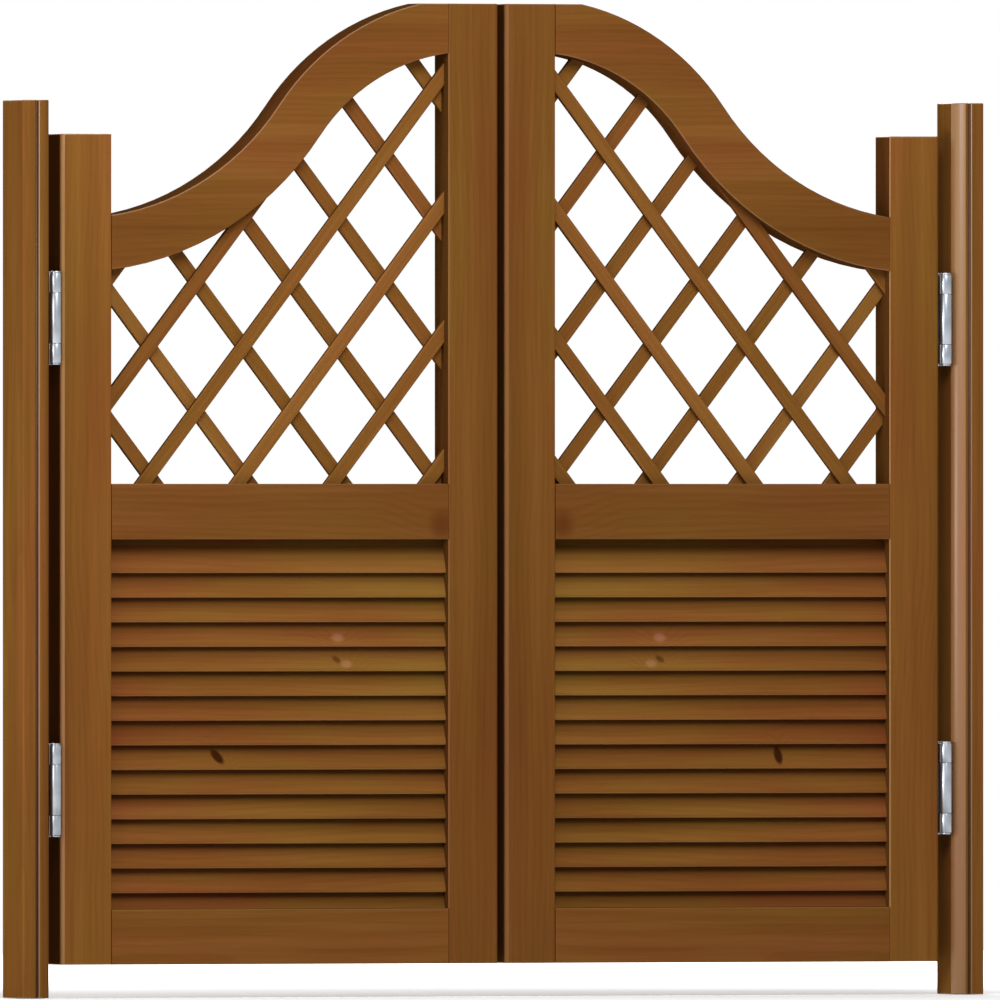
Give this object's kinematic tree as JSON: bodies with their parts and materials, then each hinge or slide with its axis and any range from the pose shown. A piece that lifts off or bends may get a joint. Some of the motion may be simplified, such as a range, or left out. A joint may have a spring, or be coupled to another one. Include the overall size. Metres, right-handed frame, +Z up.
{
  "type": "cafe swinging doors",
  "caption": "Pair of low louvred cafe doors with an S-curved top rail and open lath lattice, hung on wall posts by double-action spring hinges that swing both ways.",
  "frame": {"origin": "foot of the posts, on the line where the two leaves meet, in the middle of the posts' depth", "axes": "+Z up, +X from the left leaf to the right leaf, +Y from the front to the back"},
  "size_m": [1.116, 0.06, 1.066],
  "materials": {
    "stained_pine": "satin varnish over a warm brown stain",
    "hinge_steel": "zinc-plated steel"
  },
  "bodies": {
    "left_door": {"left_back_lath_1": "stained_pine", "left_back_lath_2": "stained_pine", "left_back_lath_3": "stained_pine", "left_back_lath_4": "stained_pine", "left_back_lath_5": "stained_pine", "left_back_lath_6": "stained_pine", "left_back_lath_7": "stained_pine", "left_bottom_rail": "stained_pine", "left_front_lath_1": "stained_pine", "left_front_lath_2": "stained_pine", "left_front_lath_3": "stained_pine", "left_front_lath_4": "stained_pine", "left_front_lath_5": "stained_pine", "left_front_lath_6": "stained_pine", "left_hinge_stile": "stained_pine", "left_louvre_panel": "stained_pine", "left_lower_hinge_door_leaf": "hinge_steel", "left_lower_hinge_door_pin": "hinge_steel", "left_meeting_stile": "stained_pine", "left_mid_rail": "stained_pine", "left_top_rail": "stained_pine", "left_upper_hinge_door_leaf": "hinge_steel", "left_upper_hinge_door_pin": "hinge_steel"},
    "frame": {"left_lower_hinge_jamb_leaf": "hinge_steel", "left_lower_hinge_jamb_pin": "hinge_steel", "left_post": "stained_pine", "left_upper_hinge_jamb_leaf": "hinge_steel", "left_upper_hinge_jamb_pin": "hinge_steel", "right_lower_hinge_jamb_leaf": "hinge_steel", "right_lower_hinge_jamb_pin": "hinge_steel", "right_post": "stained_pine", "right_upper_hinge_jamb_leaf": "hinge_steel", "right_upper_hinge_jamb_pin": "hinge_steel"},
    "left_hinge_webs": {"left_lower_hinge_web": "hinge_steel", "left_upper_hinge_web": "hinge_steel"},
    "right_door": {"right_back_lath_1": "stained_pine", "right_back_lath_2": "stained_pine", "right_back_lath_3": "stained_pine", "right_back_lath_4": "stained_pine", "right_back_lath_5": "stained_pine", "right_back_lath_6": "stained_pine", "right_back_lath_7": "stained_pine", "right_bottom_rail": "stained_pine", "right_front_lath_1": "stained_pine", "right_front_lath_2": "stained_pine", "right_front_lath_3": "stained_pine", "right_front_lath_4": "stained_pine", "right_front_lath_5": "stained_pine", "right_front_lath_6": "stained_pine", "right_hinge_stile": "stained_pine", "right_louvre_panel": "stained_pine", "right_lower_hinge_door_leaf": "hinge_steel", "right_lower_hinge_door_pin": "hinge_steel", "right_meeting_stile": "stained_pine", "right_mid_rail": "stained_pine", "right_top_rail": "stained_pine", "right_upper_hinge_door_leaf": "hinge_steel", "right_upper_hinge_door_pin": "hinge_steel"},
    "right_hinge_webs": {"right_lower_hinge_web": "hinge_steel", "right_upper_hinge_web": "hinge_steel"}
  },
  "joints": [
    {"name": "left_swing_front", "type": "hinge", "parent": "frame", "child": "left_hinge_webs", "pos_m": [-0.51735, -0.022, 0.475], "axis": [0, 0, -1], "range_deg": [0, 95], "stiffness_Nm_per_rad": 5, "springref_deg": -17.19},
    {"name": "left_swing_back", "type": "hinge", "parent": "left_hinge_webs", "child": "left_door", "pos_m": [-0.51735, 0.022, 0.475], "axis": [0, 0, 1], "range_deg": [0, 95], "stiffness_Nm_per_rad": 5, "springref_deg": -17.19},
    {"name": "right_swing_back", "type": "hinge", "parent": "frame", "child": "right_hinge_webs", "pos_m": [0.51735, 0.022, 0.475], "axis": [0, 0, -1], "range_deg": [0, 95], "stiffness_Nm_per_rad": 5, "springref_deg": -17.19},
    {"name": "right_swing_front", "type": "hinge", "parent": "right_hinge_webs", "child": "right_door", "pos_m": [0.51735, -0.022, 0.475], "axis": [0, 0, 1], "range_deg": [0, 95], "stiffness_Nm_per_rad": 5, "springref_deg": -17.19}
  ]
}
